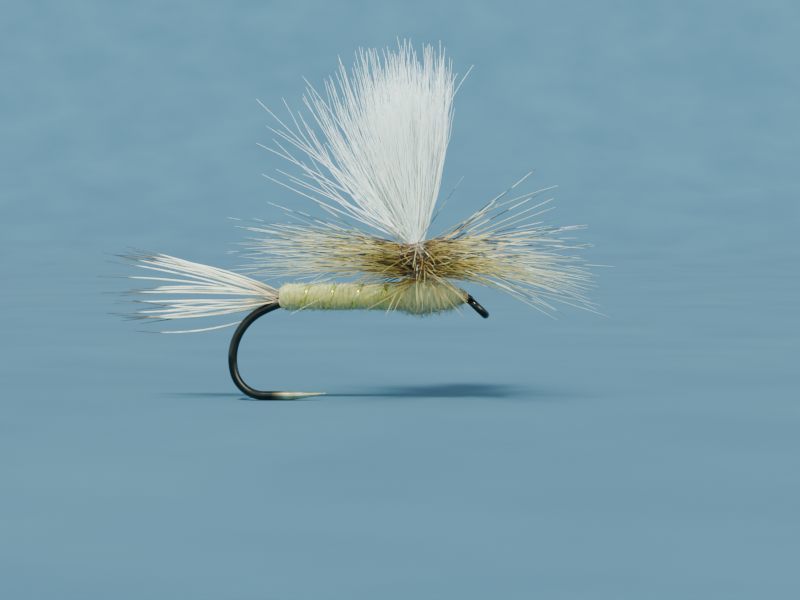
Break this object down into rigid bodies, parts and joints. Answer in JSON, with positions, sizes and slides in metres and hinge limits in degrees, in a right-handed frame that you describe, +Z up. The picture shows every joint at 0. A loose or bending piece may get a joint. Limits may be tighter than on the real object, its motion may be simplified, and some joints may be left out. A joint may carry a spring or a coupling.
{
  "type": "dry fly",
  "caption": "Parachute dry fly: barbless down-eye hook with splayed hair tail, ribbed olive dubbed body, white upright hair wing and a horizontal mixed hackle round its post.",
  "frame": {"origin": "centre of the hook's eye", "axes": "+X along the shank towards the eye end, +Z up towards the wing, the hook lies in the XZ plane"},
  "size_m": [0.026, 0.0193, 0.0193],
  "materials": {
    "bronzed_wire": "dark bronzed hook wire, polished, golden at the ground point",
    "tying_thread": "waxed olive-brown tying thread",
    "tail_hair": "glossy cream fibres with charcoal tips",
    "abdomen_dubbing": "fine pale olive dubbing, tightly wound",
    "thorax_dubbing": "loose grey-olive dubbing, fuzzy",
    "pearl_tinsel": "flat pearl tinsel that glints yellow-green",
    "wing_hair": "white calf-tail hair, satin",
    "ginger_feather": "ginger hackle, translucent golden tan barbs",
    "grizzly_feather": "cream hackle barred with charcoal",
    "head_varnish": "clear amber head cement, glossy"
  },
  "bodies": {
    "root": {"hook": "bronzed_wire", "thread_underwrap": "tying_thread", "tail_tuft_top": "tail_hair", "tail_tuft_left": "tail_hair", "tail_tuft_right": "tail_hair", "tail_binding": "tying_thread", "abdomen": "abdomen_dubbing", "rib": "pearl_tinsel", "wing_post_hair": "wing_hair", "wing_lashing": "tying_thread", "thread_dam": "tying_thread", "post_wraps": "tying_thread", "hackle_tie_off": "tying_thread", "ginger_hackle": "ginger_feather", "grizzly_hackle": "grizzly_feather", "thorax": "thorax_dubbing", "head_thread": "tying_thread", "head_cement": "head_varnish"}
  },
  "joints": []
}
